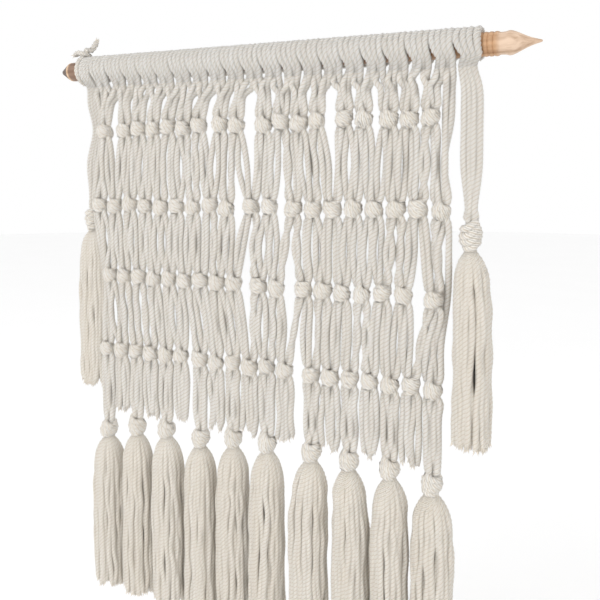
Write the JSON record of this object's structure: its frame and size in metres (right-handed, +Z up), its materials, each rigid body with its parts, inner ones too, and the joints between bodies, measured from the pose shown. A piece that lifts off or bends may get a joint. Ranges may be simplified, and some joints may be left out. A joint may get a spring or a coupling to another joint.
{
  "type": "macrame wall hanging on a wooden rod",
  "caption": "Knotted yarn wall hanging with a diamond net, cut fringe and ball-headed tassels, tied with hitches over a turned wooden rod.",
  "frame": {"origin": "middle of the rod's axis, where the hooks on the wall hold the rod up", "axes": "+X to the right along the rod, +Z up, -Y towards the viewer, away from the wall"},
  "size_m": [0.51, 0.042, 0.5992],
  "materials": {
    "yarn": "matt three-ply twisted cotton yarn, natural cream",
    "wood": "sanded, waxed wood, darker at the left tip"
  },
  "bodies": {
    "root": {"rod": "wood", "heading": "yarn", "net_row_1": "yarn", "net_row_2": "yarn", "net_row_3": "yarn", "net_row_4": "yarn", "fringe": "yarn", "tassel_01_head": "yarn", "tassel_01_skirt": "yarn", "tassel_02_head": "yarn", "tassel_02_skirt": "yarn", "tassel_03_head": "yarn", "tassel_03_skirt": "yarn", "tassel_04_head": "yarn", "tassel_04_skirt": "yarn", "tassel_05_head": "yarn", "tassel_05_skirt": "yarn", "tassel_06_head": "yarn", "tassel_06_skirt": "yarn", "tassel_07_head": "yarn", "tassel_07_skirt": "yarn", "tassel_08_head": "yarn", "tassel_08_skirt": "yarn", "tassel_09_head": "yarn", "tassel_09_skirt": "yarn", "tassel_10_head": "yarn", "tassel_10_skirt": "yarn", "side_left_bundle": "yarn", "side_left_head": "yarn", "side_left_skirt": "yarn", "side_right_bundle": "yarn", "side_right_head": "yarn", "side_right_skirt": "yarn", "tie": "yarn"}
  },
  "joints": []
}
